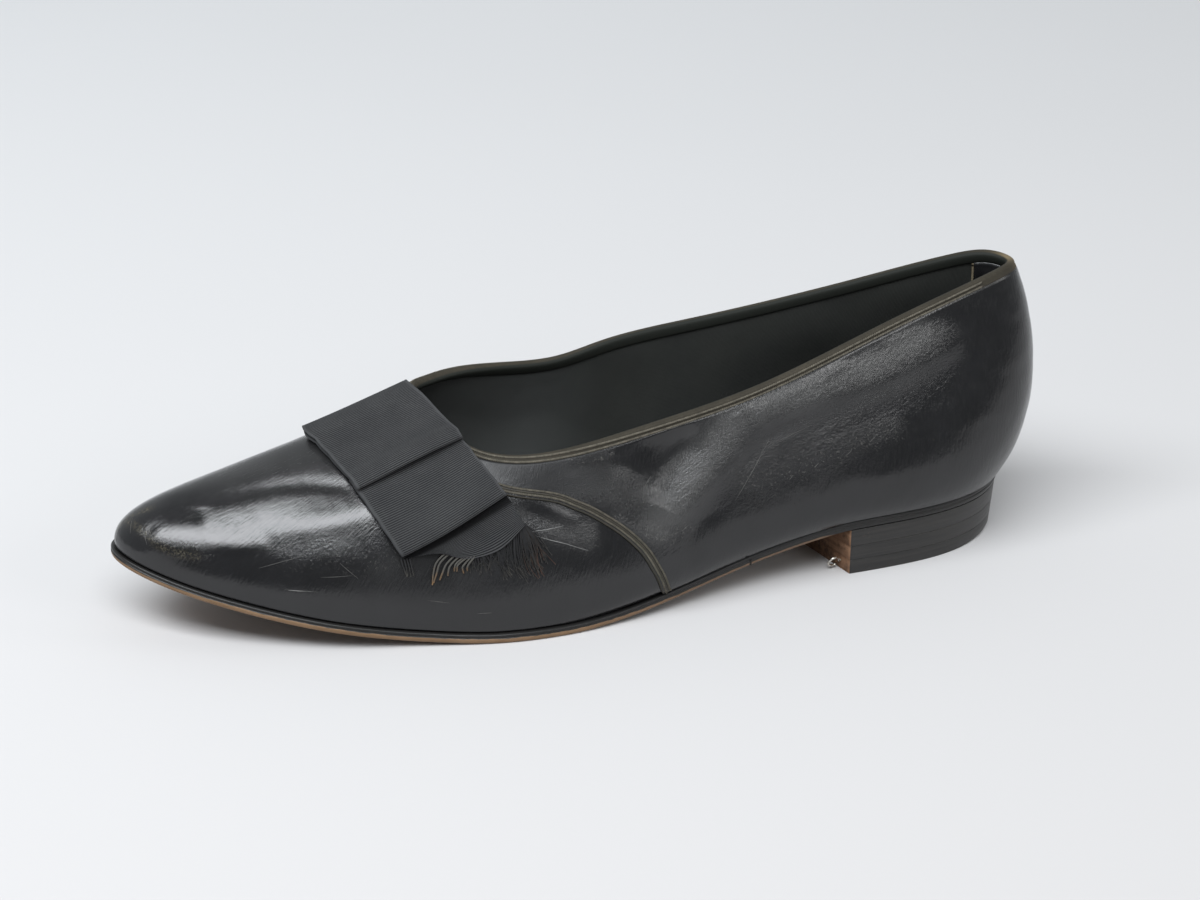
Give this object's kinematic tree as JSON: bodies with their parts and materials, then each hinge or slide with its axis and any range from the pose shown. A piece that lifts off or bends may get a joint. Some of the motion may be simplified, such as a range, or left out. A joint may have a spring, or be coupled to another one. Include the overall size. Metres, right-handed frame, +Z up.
{
  "type": "court shoe",
  "caption": "Low-heeled black leather court shoe with a flat pleated ribbon bow, lapped quarters, a bound topline and a stacked leather heel.",
  "frame": {"origin": "on the floor under the middle of the shoe's box, halfway along its length and across its width", "axes": "-X toward the toe, +X toward the heel, -Y toward the outer side, +Y toward the inner side, +Z up"},
  "size_m": [0.2674, 0.0758, 0.0793],
  "materials": {
    "upper_leather": "glossy, worn black",
    "sole_leather": "worn tan",
    "heel_leather": "blackened stack",
    "insole_leather": "matte dark",
    "binding_tape": "faded olive-brown tape",
    "ribbon": "ribbed black ribbon",
    "steel_wire": "dull silvery wire"
  },
  "bodies": {
    "root": {"outsole": "sole_leather", "insole": "insole_leather", "heel_top_piece": "heel_leather", "heel_lift_lower": "heel_leather", "heel_lift_upper": "heel_leather", "upper": "upper_leather", "topline_binding": "binding_tape", "bow_loop_near": "ribbon", "bow_loop_far": "ribbon", "bow_tail": "ribbon", "heel_eye": "steel_wire"}
  },
  "joints": []
}
